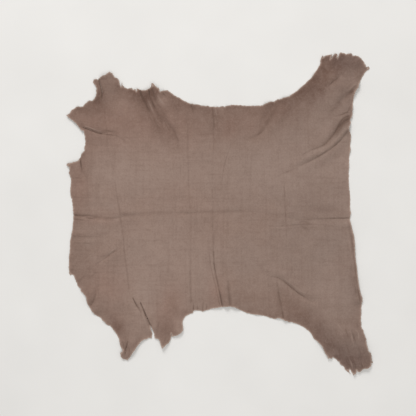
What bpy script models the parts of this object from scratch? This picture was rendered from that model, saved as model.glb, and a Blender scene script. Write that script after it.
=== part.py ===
"""A tanned leather hide lying flat: one thin sheet with its cut outline and its main folds.

Metres, +Z up. The hide lies on the plane z = 0 and the middle of its outline is over the origin.
The neck points to -X, the rump to +X and the spine runs along X. Tables are in millimetres.
"""

import math
from collections import namedtuple

import bpy
import numpy as np
from mathutils import Vector
from mathutils.geometry import delaunay_2d_cdt

MM = 0.001
NAME = "leather_hide"
NODE = "hide"

THICKNESS = 1.2
LIE_FLAT_BELOW = 1.0

# How finely the sheet is meshed. The bank lines are distances from a trough as shares of its bank.
EDGE_STEP = 9.0
FOLD_STEP = 12.5
GRID_STEP = 27.0
GRID_CLEARANCE = 16.0
EDGE_CLEARANCE = 5.0
POINT_CLEARANCE = 6.0
BANK_LINES = (1.0, -1.0, 2.1, -2.1)
CURVE_STEPS = 12
SAME_POINT = 1e-5

EdgePoint = namedtuple("EdgePoint", "x y turn")
Fold = namedtuple("Fold", "bank roundness rise_start rise_middle rise_end right_share route")
Swell = namedtuple("Swell", "spread rise_start rise_middle rise_end route")

C = "corner"
S = "smooth"

# The cut edge, clockwise. Each row is x, y and whether the edge turns sharply or curves on there.
OUTLINE = {
    "neck_upper_lobe": (
        (-459, 294, C), (-442, 312, S), (-425, 321, S), (-410, 322, S), (-396, 337, C), (-382, 339, S),
        (-371, 355, S), (-371, 381, S),
    ),
    "upper_fore_shank": (
        (-380, 395, C), (-375, 403, S), (-365, 403, C), (-328, 425, C), (-305, 403, S), (-296, 378, C),
    ),
    "upper_shoulder": (
        (-277, 375, S), (-263, 376, S), (-250, 370, C), (-239, 371, S), (-212, 374, S), (-203, 392, C),
        (-183, 373, S), (-179, 365, C), (-153, 368, S), (-119, 347, S), (-88, 330, S),
    ),
    "upper_belly": (
        (-45, 323, S), (4, 321, S), (43, 326, S), (94, 323, S), (131, 326, S), (166, 338, S), (211, 355, S),
        (271, 405, S), (298, 443, S),
    ),
    "upper_hind_shank": (
        (301, 457, S), (307, 474, C), (311, 467, C), (324, 475, S), (336, 477, C), (331, 462, C),
        (343, 478, C), (353, 466, C), (361, 483, S), (395, 479, S), (411, 474, S), (433, 454, S),
        (439, 441, S), (449, 436, C), (440, 428, S), (424, 405, S), (414, 378, S), (403, 357, S),
    ),
    "rump": (
        (397, 311, S), (397, 294, S), (390, 281, S), (393, 274, S), (387, 254, S), (392, 235, S),
        (388, 170, S), (387, 93, S), (391, 45, S), (393, 2, S), (390, -16, S), (403, -75, S),
        (406, -133, S), (420, -232, S), (427, -254, C), (424, -332, S),
    ),
    "lower_hind_shank": (
        (437, -374, S), (445, -413, S), (454, -428, S), (459, -447, C), (453, -453, S), (432, -463, S),
        (417, -474, S), (410, -469, C), (402, -483, C), (394, -473, S), (380, -471, S), (362, -452, S),
        (339, -429, C), (323, -433, C), (303, -393, S), (280, -372, S), (277, -364, S),
    ),
    "lower_belly": (
        (261, -347, S), (218, -326, S), (172, -314, S), (122, -304, S), (80, -297, S), (37, -279, S),
        (-10, -282, S), (-52, -293, C), (-79, -291, S), (-104, -309, S), (-112, -325, S), (-111, -349, S),
        (-120, -360, S), (-142, -368, C),
    ),
    "lower_fore_shanks": (
        (-145, -358, C), (-148, -378, S), (-171, -403, C), (-180, -380, S), (-194, -374, C),
        (-209, -338, C), (-201, -372, C), (-233, -381, S), (-254, -407, S), (-276, -438, C),
        (-292, -433, S), (-297, -416, S), (-291, -411, C), (-304, -371, S),
    ),
    "neck_lower_side": (
        (-329, -336, S), (-355, -315, S), (-380, -296, S), (-398, -265, S), (-403, -246, S),
        (-417, -228, C), (-430, -204, S), (-441, -184, S), (-447, -186, C), (-452, -139, S),
        (-449, -80, S), (-439, -17, S), (-442, 33, S), (-448, 61, S), (-446, 103, S), (-451, 124, S),
    ),
    "neck_notch": (
        (-452, 141, C), (-459, 145, C), (-433, 155, S), (-417, 173, S), (-406, 190, S), (-403, 218, S),
        (-409, 248, S), (-423, 262, S),
    ),
}

# Creased folds: a trough with a raised bank on each side, its route read from start to end.
# bank is the distance from the trough to the top of a bank, and roundness 1 is a sharp crease and 2
# a soft trough. The three rises are the height of the left bank at the start, middle and end of the
# route, and right_share is the right bank's height over the left one's.
FOLDS = {
    "flank_upper_trough": Fold(
        20, 1.7, 7, 6, 0, 0.7,
        ((391, 276), (364, 260), (347, 238), (332, 223), (314, 203), (269, 185), (239, 163)),
    ),
    "flank_lower_trough": Fold(
        14, 1.4, 2.4, 2.2, 0, 2.2,
        ((391, 252), (362, 219), (332, 192), (293, 168), (239, 143), (203, 123), (157, 104)),
    ),
    "shoulder_left_trough": Fold(
        16, 1.6, 5, 4, 0, 1.0, ((-234, 372), (-226, 347), (-215, 320), (-210, 290), (-204, 268))
    ),
    "shoulder_right_trough": Fold(
        16, 1.5, 6, 5.5, 0, 0.8,
        ((-207, 372), (-200, 344), (-189, 311), (-178, 284), (-155, 260), (-137, 236), (-121, 190)),
    ),
    "neck_crease": Fold(
        12, 1.2, 6, 5, 0, 0.6, ((-412, 257), (-383, 248), (-356, 241), (-326, 242), (-298, 225))
    ),
    "neck_notch_crease": Fold(11, 1.2, 5, 4, 0, 1.1, ((-417, 169), (-413, 137), (-408, 110), (-402, 88))),
    "fore_shank_crease": Fold(
        11, 1.2, 7, 5, 0, 0.6, ((-365, 402), (-358, 378), (-351, 353), (-345, 330))
    ),
    "spine_crease_neck": Fold(
        13, 1.3, 4, 3, 1.5, 1.0, ((-440, -6), (-405, -8), (-368, -13), (-330, -17), (-284, -8))
    ),
    "spine_crease_middle": Fold(
        14, 1.8, 1.8, 2, 1.6, 0.8, ((-284, -8), (-180, 0), (-92, 0), (0, 3), (78, 6), (151, -2))
    ),
    "spine_crease_rump": Fold(
        12, 1.3, 1, 2.6, 3.6, 0.8, ((151, -2), (240, -18), (295, -20), (337, -18), (391, -16))
    ),
    "neck_side_crease": Fold(
        13, 1.5, 2.6, 2.2, 0, 0.8, ((-441, -73), (-400, -72), (-360, -73), (-325, -72))
    ),
    "neck_slanting_crease": Fold(
        11, 1.3, 0, 3, 2, 1.2, ((-293, -97), (-323, -118), (-350, -136), (-368, -151))
    ),
    "neck_corner_trough": Fold(
        15, 1.5, 7, 6, 0, 0.8, ((-387, -279), (-374, -256), (-368, -225), (-362, -200))
    ),
    "fore_fold_line": Fold(
        11, 1.3, 1.4, 2.2, 1.6, 0.8,
        ((-335, 236), (-326, 176), (-308, 70), (-299, 10), (-291, -64), (-281, -150), (-274, -260)),
    ),
    "slit_left_crease": Fold(
        10, 1.4, 1.6, 3, 3.4, 0.7, ((-260, -248), (-253, -270), (-241, -295), (-234, -315))
    ),
    "slit_crease": Fold(
        10, 1.4, 1.6, 3.6, 5, 0.8, ((-239, -271), (-226, -301), (-214, -327), (-209, -337))
    ),
    "fore_shank_tip_crease": Fold(
        12, 1.3, 5, 5, 2, 0.9, ((-284, -424), (-280, -395), (-276, -370), (-270, -340))
    ),
    "shoulder_fold_line": Fold(
        12, 1.6, 3, 2, 2.4, 0.8, ((-98, 330), (-93, 250), (-92, 120), (-89, -20), (-85, -150), (-85, -285))
    ),
    "belly_crease": Fold(
        11, 1.1, 0, 4, 6, 0.9, ((-21, -20), (-21, -110), (-14, -165), (-4, -217), (10, -281))
    ),
    "belly_side_crease": Fold(12, 1.5, 0, 3, 5, 0.8, ((28, -180), (30, -235), (33, -279))),
    "belly_top_trough": Fold(14, 1.6, 5, 4, 0, 0.9, ((-26, 321), (-18, 290), (-13, 250), (-14, 200))),
    "belly_slanting_trough": Fold(
        26, 1.9, 6, 4, 0, 0.9, ((172, 335), (150, 296), (133, 262), (110, 233), (84, 212))
    ),
    "hind_fold_line": Fold(12, 1.5, 0, 2.2, 1.4, 0.8, ((191, 140), (193, 40), (196, -30), (200, -110))),
    "lower_flank_trough": Fold(
        16, 1.4, 0, 7, 4, 0.8,
        ((120, -184), (157, -191), (182, -197), (203, -214), (226, -235), (250, -250), (285, -262)),
    ),
    "lower_flank_crease": Fold(11, 1.3, 0, 4, 5, 0.9, ((174, -205), (178, -253), (187, -314))),
    "rump_edge_trough": Fold(
        12, 1.5, 2, 4, 3.5, 0.8,
        ((382, -45), (391, -94), (396, -145), (401, -193), (412, -247)),
    ),
    "hind_shank_trough": Fold(20, 1.7, 5, 4, 0, 0.8, ((403, 372), (375, 350), (358, 325), (350, 295))),
    "hind_shank_tip_crease": Fold(
        13, 1.5, 2, 4, 1.5, 0.8, ((322, 381), (336, 390), (352, 402), (366, 414))
    ),
    "lower_hind_shank_trough": Fold(
        15, 1.5, 0, 6, 5, 0.8, ((395, -340), (408, -375), (421, -410), (424, -452))
    ),
}

# Soft raised swells: a rounded ridge along its route, or one edge that lifts where the route is on it.
SWELLS = {
    "upper_hind_leg": Swell(34, 6, 6, 0, ((398, 440), (355, 380), (318, 320), (262, 262))),
    "upper_fore_leg": Swell(30, 7, 5, 0, ((-327, 415), (-330, 360), (-300, 305), (-255, 250))),
    "neck_upper_tip": Swell(22, 6, 2, 0, ((-455, 294), (-425, 295), (-390, 290))),
    "neck_notch_tip": Swell(16, 5, 3, 0, ((-455, 146), (-440, 125), (-432, 90))),
    "shoulder_flap": Swell(18, 6, 4, 0, ((-194, 382), (-172, 350), (-140, 310))),
    "lower_fore_leg": Swell(24, 5, 6, 0, ((-250, -405), (-243, -360), (-238, -310))),
    "lower_shoulder_tip": Swell(22, 8, 4, 0, ((-170, -398), (-165, -340), (-160, -280))),
    "lower_shoulder_corner": Swell(18, 8, 4, 0, ((-122, -358), (-126, -330), (-135, -300))),
    "lower_hind_leg": Swell(32, 7, 6, 0, ((432, -455), (385, -400), (375, -320), (360, -250))),
    "lower_hind_shank_edge": Swell(20, 6, 4, 0, ((331, -430), (310, -395), (300, -350))),
    "rump_edge": Swell(11, 2, 4, 3, ((392, -30), (404, -75), (408, -133), (415, -195), (427, -254))),
}


def smooth_through(points):
    """Centripetal Catmull-Rom curve through the points, without its last point."""
    ends = [2 * points[0] - points[1], *points, 2 * points[-1] - points[-2]]
    curve = []
    for before, start, end, after in zip(ends, ends[1:], ends[2:], ends[3:]):
        t1 = math.sqrt(np.linalg.norm(start - before))
        t2 = t1 + math.sqrt(np.linalg.norm(end - start))
        t3 = t2 + math.sqrt(np.linalg.norm(after - end))
        for step in range(CURVE_STEPS):
            t = t1 + (t2 - t1) * step / CURVE_STEPS
            a1 = before + (start - before) * t / t1
            a2 = start + (end - start) * (t - t1) / (t2 - t1)
            a3 = end + (after - end) * (t - t2) / (t3 - t2)
            b1 = a1 + (a2 - a1) * t / t2
            b2 = a2 + (a3 - a2) * (t - t1) / (t3 - t1)
            curve.append(b1 + (b2 - b1) * (t - t1) / (t2 - t1))
    return curve


def at_even_steps(line, step):
    """Points along a polyline at even distances of about step, with both of its ends."""
    line = np.array(line)
    lengths = np.linalg.norm(np.diff(line, axis=0), axis=1)
    along = np.concatenate(([0.0], np.cumsum(lengths)))
    count = max(1, round(along[-1] / step))
    stops = np.linspace(0.0, along[-1], count + 1)
    return np.stack([np.interp(stops, along, line[:, axis]) for axis in (0, 1)], axis=1)


def edge_loop():
    """The closed cut edge: curves between its corners, as points about EDGE_STEP apart."""
    rows = [EdgePoint(*row) for stretch in OUTLINE.values() for row in stretch]
    rows.append(rows[0])
    loop = []
    run = []
    for row in rows:
        run.append(np.array((row.x, row.y), dtype=float))
        if row.turn == C and len(run) > 1:
            loop.extend(at_even_steps([*smooth_through(run), run[-1]], EDGE_STEP)[:-1])
            run = run[-1:]
    return np.array(loop)


def route_line(route):
    """A fold's route as a smooth polyline."""
    points = [np.array(point, dtype=float) for point in route]
    return np.array([*smooth_through(points), points[-1]])


def nearest_on_line(points, line):
    """For each point: distance to the line, share of the line's length there, and if it is left of it."""
    starts = line[:-1]
    steps = np.diff(line, axis=0)
    lengths = np.linalg.norm(steps, axis=1)
    along = np.concatenate(([0.0], np.cumsum(lengths)))
    from_start = points[:, None, :] - starts[None, :, :]
    share = np.clip((from_start * steps).sum(axis=2) / lengths**2, 0.0, 1.0)
    offset = from_start - share[:, :, None] * steps
    distances = np.linalg.norm(offset, axis=2)
    nearest = distances.argmin(axis=1)
    row = np.arange(len(points))
    here = (along[nearest] + share[row, nearest] * lengths[nearest]) / along[-1]
    side = steps[nearest, 0] * offset[row, nearest, 1] - steps[nearest, 1] * offset[row, nearest, 0]
    return distances[row, nearest], here, side > 0


def rise_at(form, here):
    """A fold's or swell's rise at a share of its route."""
    return np.interp(here, (0.0, 0.5, 1.0), (form.rise_start, form.rise_middle, form.rise_end))


def height_at(points):
    """Height of the hide's underside over the surface that it lies on."""
    height = np.zeros(len(points))
    for fold in FOLDS.values():
        distance, here, on_left = nearest_on_line(points, route_line(fold.route))
        reach = (distance / fold.bank) ** fold.roundness
        side = np.where(on_left, 1.0, fold.right_share)
        height += rise_at(fold, here) * side * reach * np.exp(1.0 - reach)
    for swell in SWELLS.values():
        distance, here, _ = nearest_on_line(points, route_line(swell.route))
        height += rise_at(swell, here) * np.exp(-((distance / swell.spread) ** 2))
    return np.maximum(height - LIE_FLAT_BELOW, 0.0)


def inside(points, loop):
    """Which points lie inside the closed loop."""
    ends = np.roll(loop, -1, axis=0)
    x, y = points[:, None, 0], points[:, None, 1]
    spans = (loop[:, 1] > y) != (ends[:, 1] > y)
    rise = np.where(ends[:, 1] == loop[:, 1], 1.0, ends[:, 1] - loop[:, 1])
    crossing = loop[:, 0] + (y - loop[:, 1]) / rise * (ends[:, 0] - loop[:, 0])
    return (spans & (x < crossing)).sum(axis=1) % 2 == 1


def beside_line(line, offset):
    """The line's points, moved sideways by offset."""
    along = np.gradient(line, axis=0)
    along /= np.linalg.norm(along, axis=1)[:, None]
    return line + offset * np.stack((-along[:, 1], along[:, 0]), axis=1)


def mesh_lines():
    """Lines that the mesh follows: first all the troughs, then their banks and feet, then the swells."""
    troughs = [at_even_steps(route_line(fold.route), FOLD_STEP) for fold in FOLDS.values()]
    lines = list(troughs)
    for share in BANK_LINES:
        lines.extend(beside_line(line, share * fold.bank) for line, fold in zip(troughs, FOLDS.values()))
    lines.extend(at_even_steps(route_line(swell.route), FOLD_STEP) for swell in SWELLS.values())
    return lines


def grid_rows(loop):
    """The rows of a triangular grid over the whole hide."""
    low, high = loop.min(axis=0), loop.max(axis=0)
    row_step = GRID_STEP * math.sqrt(3.0) / 2.0
    rows = []
    for row, y in enumerate(np.arange(low[1], high[1], row_step)):
        x = np.arange(low[0] + (row % 2) * GRID_STEP / 2.0, high[0], GRID_STEP)
        rows.append(np.stack((x, np.full(len(x), y)), axis=1))
    return rows


def add_line(points, line, loop, clearance):
    """Add the line's points that are clear of all others, and return the edges that join them."""
    closed = np.concatenate((loop, loop[:1]))
    clear = inside(line, loop) & (nearest_on_line(line, closed)[0] >= EDGE_CLEARANCE)
    edges = []
    last = None
    for point, is_clear in zip(line, clear):
        if is_clear and np.min(np.sum((np.array(points) - point) ** 2, axis=1)) >= clearance**2:
            points.append(point)
            if last is not None:
                edges.append((last, len(points) - 1))
            last = len(points) - 1
        else:
            last = None
    return edges


def hide_mesh():
    """The hide's underside, as one open surface of triangles in metres."""
    loop = edge_loop()
    points = list(loop)
    creases = []
    for number, line in enumerate(mesh_lines()):
        edges = add_line(points, line, loop, POINT_CLEARANCE)
        if number < len(FOLDS):
            creases.extend(edges)
    for row in grid_rows(loop):
        add_line(points, row, loop, GRID_CLEARANCE)
    outline = list(range(len(loop)))
    result = delaunay_2d_cdt([Vector(point) for point in points], creases, [outline], 1, SAME_POINT)
    flat = np.array([tuple(point) for point in result[0]])
    vertices = np.column_stack((flat, height_at(flat))) * MM
    mesh = bpy.data.meshes.new(NODE)
    mesh.from_pydata(vertices.tolist(), [], [list(face) for face in result[2]])
    return mesh


def leather():
    """Undyed brown leather with a dry nap."""
    material = bpy.data.materials.new("tanned_leather")
    material.use_nodes = True
    shader = material.node_tree.nodes["Principled BSDF"]
    shader.inputs["Base Color"].default_value = (0.262, 0.184, 0.152, 1.0)
    shader.inputs["Roughness"].default_value = 0.85
    shader.inputs["Metallic"].default_value = 0.0
    return material


def make_hide(collection):
    """The sheet: its underside as modelled, and its full thickness laid on top of it."""
    mesh = hide_mesh()
    mesh.materials.append(leather())
    mesh.shade_smooth()
    hide = bpy.data.objects.new(NODE, mesh)
    collection.objects.link(hide)
    sheet = hide.modifiers.new("thickness", "SOLIDIFY")
    sheet.thickness = THICKNESS * MM
    sheet.offset = 1.0
    sheet.use_rim = True
    return hide


def main():
    for item in list(bpy.data.objects):
        bpy.data.objects.remove(item, do_unlink=True)
    collection = bpy.data.collections.new(NAME)
    bpy.context.scene.collection.children.link(collection)
    make_hide(collection)


main()
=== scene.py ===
"""The looks of a tanned leather hide that lies spread out, napped side up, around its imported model.

Tables of sizes are in millimetres. +X runs from the neck to the rump, +Y across the hide and +Z up.
"""

import math
from collections import namedtuple

import bpy
import numpy as np
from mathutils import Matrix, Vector, kdtree
from mathutils.geometry import delaunay_2d_cdt


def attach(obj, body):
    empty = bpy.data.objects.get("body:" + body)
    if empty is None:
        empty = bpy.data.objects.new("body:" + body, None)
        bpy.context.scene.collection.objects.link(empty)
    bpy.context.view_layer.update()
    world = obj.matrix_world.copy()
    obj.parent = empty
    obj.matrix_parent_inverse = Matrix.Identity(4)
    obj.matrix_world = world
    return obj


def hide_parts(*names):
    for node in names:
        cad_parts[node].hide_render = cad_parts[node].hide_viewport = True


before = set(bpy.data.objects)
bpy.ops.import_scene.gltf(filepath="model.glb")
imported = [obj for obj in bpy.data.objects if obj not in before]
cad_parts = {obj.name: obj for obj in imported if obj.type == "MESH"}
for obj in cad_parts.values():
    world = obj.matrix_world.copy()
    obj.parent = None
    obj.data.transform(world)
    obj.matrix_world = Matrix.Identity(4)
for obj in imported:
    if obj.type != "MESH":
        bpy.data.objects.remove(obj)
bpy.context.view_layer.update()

MM = 0.001
NAME = "leather_hide"
SEED = 7

# The sheet. It lies LEVEL over the surface, settles softly on it and never comes below LOWEST.
THICKNESS = 1.2
LEVEL = 0.8
LIE_FLAT_BELOW = 1.0
SOFT_LANDING = 0.35
LOWEST = 0.05

# How finely the sheet is meshed: distances along and across its lines. Lines beside a fold are
# shares of its bank, and lines beside a crease are shares of its half width.
EDGE_STEP = 2.2
CREASE_STEP = 6.0
FOLD_STEP = 8.0
GRID_STEP = 6.2
CREASE_LINES = (0.0, 0.5, -0.5, 1.0, -1.0, 1.7, -1.7, 2.7, -2.7)
FOLD_LINES = (0.0, 0.3, -0.3, 0.65, -0.65, 1.0, -1.0, 1.5, -1.5, 2.1, -2.1)
LINE_CLEARANCE = 1.3
GRID_CLEARANCE = 3.6
CELL = 4.0
CURVE_STEPS = 10
SAME_POINT = 1e-6
POINTS_AT_ONCE = 1500

# delaunay_2d_cdt's number for its output of the triangles inside the outline
TRIANGLES_INSIDE = 1

# How far from its route a form still counts: shares of a bank, a spread and a half width.
FOLD_REACH = 6.0
SWELL_REACH = 3.0
CREASE_REACH = 4.0
ALONG_ROUTE = (0.0, 0.5, 1.0)

# A crease has raised lips. Its painted shade, or painted light along a raised line, is narrower than its
# relief, and both come and go along it.
CREASE_LIPS = 1.4
CREASE_COLOUR = 1.15
CREASE_STRENGTH = 0.95
CREASE_SWING = 0.25
CREASE_LIMITS = (0.45, 1.35)

# Soft waves: their shortest and longest wavelengths, and the height of those that lift the sheet or
# its edge. The edge's own waves die out EDGE_WAVE_REACH in from it.
SHEET_WAVES = ((70, 170, 0.62), (20, 44, 0.13), (9, 17, 0.035))
EDGE_WAVES = (22, 60, 1.0)
EDGE_WAVE_REACH = 17.0
RAGGED_WAVES = (5, 26)
CREASE_BREAKS = (18, 60)
WAVE_COUNT = 40

# How strongly the shanks' waves exceed the body's, and how far from the middle that begins and ends.
SHANK_WAVES = 1.5
SHANK_START = 440.0
SHANK_END = 620.0

# Colours, as linear red, green and blue
TAUPE = (0.251, 0.175, 0.142)
WARM_TAUPE = (0.261, 0.177, 0.141)
GREYED = (0.239, 0.177, 0.148)
ROSE = (0.278, 0.168, 0.132)
PALE = (0.314, 0.226, 0.187)
DEEP = (0.134, 0.075, 0.055)
DEEP_GREYED = (0.127, 0.080, 0.066)
# Painted shade along creases, and a darker painted shadow in the deepest of them
PAINTED_CREASE_SHADE = (0.126, 0.074, 0.053)
PAINTED_PIT_SHADOW = (0.045, 0.028, 0.021)
FIBRE = (0.420, 0.330, 0.275)
RAW = (0.460, 0.350, 0.290)
RAW_DARK = (0.330, 0.236, 0.190)
FLESH = (0.380, 0.290, 0.235)
FLESH_DARK = (0.300, 0.222, 0.176)
FLOOR_COLOUR = (0.80, 0.79, 0.77)
FLOOR_COLOUR_DARK = (0.77, 0.76, 0.74)
SKY = (1.0, 0.985, 0.965)

EdgePoint = namedtuple("EdgePoint", "x y turn", defaults=("smooth",))
Stretch = namedtuple("Stretch", "ragged points")
Fold = namedtuple("Fold", "bank roundness rise_start rise_middle rise_end right_share route")
Swell = namedtuple("Swell", "spread rise_start rise_middle rise_end route")
Crease = namedtuple("Crease", "half_width depth_start depth_middle depth_end route")
Patch = namedtuple("Patch", "x y half_length half_width strength angle", defaults=(0,))
Tint = namedtuple("Tint", "size detail stretch none_at full_at share colour")
Span = namedtuple("Span", "low high at_low at_high", defaults=(0.0, 1.0))
Lumps = namedtuple("Lumps", "size detail span")
Relief = namedtuple("Relief", "size detail depth")
Coat = namedtuple("Coat", "sheen sheen_tint specular")

# How far the margins' shade reaches in, which faces and edges count as the cut rim, and the numbers
# of the sheet's materials.
MARGIN_REACH = 62.0
RIM_SLOPE = 0.4
SHARP_ANGLE = 48.0
TOP, UNDERSIDE, RIM = range(3)

# How a noise's lumps are drawn out, as shares of their size along x, y and z.
EVEN = (1.0, 1.0, 1.0)
ALONG = (16.0, 1.0, 1.0)
ACROSS = (1.0, 16.0, 1.0)
ACROSS_A_LITTLE = (1.0, 3.5, 1.0)
NOISE_ROUGHNESS = 0.55

# Layers of noise that tint a colour: the lumps' size, their detail and stretch, the noise at which a
# layer doesn't show and at which it shows most, how much it then covers, and its colour.
CLOUDS = (Tint(26.0, 2.0, EVEN, 0.42, 0.72, 0.30, PALE),)
NAP = (
    Tint(7.5, 1.0, ACROSS, 0.50, 0.78, 0.15, DEEP),
    Tint(7.5, 1.0, ALONG, 0.50, 0.78, 0.15, DEEP),
    Tint(34.0, 2.0, EVEN, 0.50, 0.28, 0.10, DEEP),
    Tint(34.0, 2.0, EVEN, 0.50, 0.72, 0.14, PALE),
    Tint(15.0, 2.0, EVEN, 0.50, 0.28, 0.07, DEEP),
    Tint(15.0, 2.0, EVEN, 0.50, 0.72, 0.098, PALE),
    Tint(5.0, 3.0, EVEN, 0.52, 0.30, 0.17, DEEP),
    Tint(5.0, 3.0, EVEN, 0.52, 0.75, 0.23, PALE),
    Tint(1.3, 2.0, EVEN, 0.56, 0.74, 0.34, FIBRE),
)
FLESH_NAP = (
    Tint(60.0, 3.0, EVEN, 0.35, 0.65, 1.0, FLESH_DARK),
    Tint(2.2, 3.0, EVEN, 0.45, 0.72, 0.5, FIBRE),
    Tint(9.0, 2.0, ACROSS_A_LITTLE, 0.50, 0.80, 0.4, FLESH_DARK),
)
RIM_NAP = (
    Tint(1.6, 3.0, EVEN, 0.35, 0.68, 1.0, RAW_DARK),
    Tint(14.0, 2.0, EVEN, 0.45, 0.75, 0.6, ROSE),
)

# What a value on the mesh, or the distance to a pore, becomes as it goes from low to high: how much
# it tints the colour, or how far it changes the surface.
BLUSHED = Span(0.0, 1.2, 0.0, 0.85)
GREYER = Span(0.0, -1.2, 0.0, 0.80)
DARKER = Span(0.0, 1.0)
PALER = Span(0.0, -1.0)
# A crease's line becomes painted shade, painted shadow where it is deepest, and painted light along a raised
# line.
CREASE_TINTS = (
    (Span(0.05, 1.6, 0.0, 0.62), PAINTED_CREASE_SHADE),
    (Span(2.4, 5.0, 0.0, 0.60), PAINTED_PIT_SHADOW),
    (Span(-0.05, -1.5, 0.0, 0.70), PALE),
)
CREASE_SMOOTHING = Span(0.0, 1.5, 0.0, -0.12)
EDGE_BLUSH = Span(9.0, 3.0, 0.0, 0.12)
EDGE_RAWNESS = Span(4.2, 1.0, 0.0, 0.80)
PORE_SPACING = 1.7
PORE_TINT = Span(0.10, 0.32, 0.24, 0.0)
PORE_RISE = Span(0.08, 0.45)
PORE_DEPTH = 0.09

# Noise that makes a tint uneven, or that is a surface's roughness: its lumps' size, their detail and
# what the noise becomes.
WARMTH = Lumps(95.0, 3.0, Span(0.35, 0.65))
BLUSH_PATCHES = Lumps(34.0, 3.0, Span(0.30, 0.70, 0.70, 1.18))
SHADE_BLOTCHES = Lumps(24.0, 3.0, Span(0.30, 0.70, 0.84, 1.16))
SHADE_SPOTS = Lumps(8.0, 2.0, Span(0.30, 0.70, 0.88, 1.12))
EDGE_FRAYING = Lumps(3.2, 2.0, Span(0.35, 0.65, 0.35, 1.0))
NAP_ROUGHNESS = Lumps(11.0, 3.0, Span(0.3, 0.7, 0.76, 0.92))
FLESH_ROUGHNESS = Lumps(7.0, 2.0, Span(0.3, 0.7, 0.88, 0.98))
RIM_ROUGHNESS = Lumps(2.0, 2.0, Span(0.3, 0.7, 0.85, 0.97))
FLOOR_CLOUDS = Lumps(240.0, 2.0, Span(0.3, 0.7))
FLOOR_ROUGHNESS = 0.9

# Fine relief in layers, each on the one before: its lumps' size and detail, and its depth.
NAP_RELIEF = (Relief(16.0, 3.0, 0.75), Relief(4.2, 3.0, 0.26))
FIBRE_RELIEF = (Relief(0.75, 2.0, 0.10),)
FLESH_RELIEF = (Relief(6.0, 3.0, 0.5), Relief(0.9, 3.0, 0.25))
RIM_RELIEF = (Relief(0.6, 3.0, 0.25),)
FLOOR_RELIEF = (Relief(2.0, 2.0, 0.02),)

# How each surface takes the light: its sheen, the sheen's tint and how glossy it is.
SHEEN_ROUGHNESS = 0.5
NAP_COAT = Coat(0.22, (0.93, 0.84, 0.78), 0.22)
FLESH_COAT = Coat(0.35, (0.95, 0.88, 0.82), 0.15)
RIM_COAT = Coat(0.15, (0.95, 0.88, 0.82), 0.15)
FLOOR_COAT = Coat(0.0, (1.0, 1.0, 1.0), 0.1)

# A Mix node's sockets for colours, which share their names with its other sockets.
MIX_FIRST = 6
MIX_SECOND = 7
MIX_RESULT = 2

# The studio, in metres and watts: each light's name, azimuth, elevation, distance, side and power.
FLOOR_SIDE = 60.0
LIGHTS = (
    ("key", -14.0, 36.0, 5.5, 2.2, 172.0),
    ("fill", 165.0, 66.0, 3.2, 2.4, 29.0),
)
SKY_STRENGTH = 0.48

# The photograph's frame: its side in pixels, how much leather a pixel spans, the pixel that the
# hide's middle is on, and the camera's lens and sensor.
PHOTO_SIDE = 416
MM_PER_PIXEL = 3.0
CENTRE_PIXEL = (219.8, 213.75)
LENS = 70.0
SENSOR = 36.0

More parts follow.
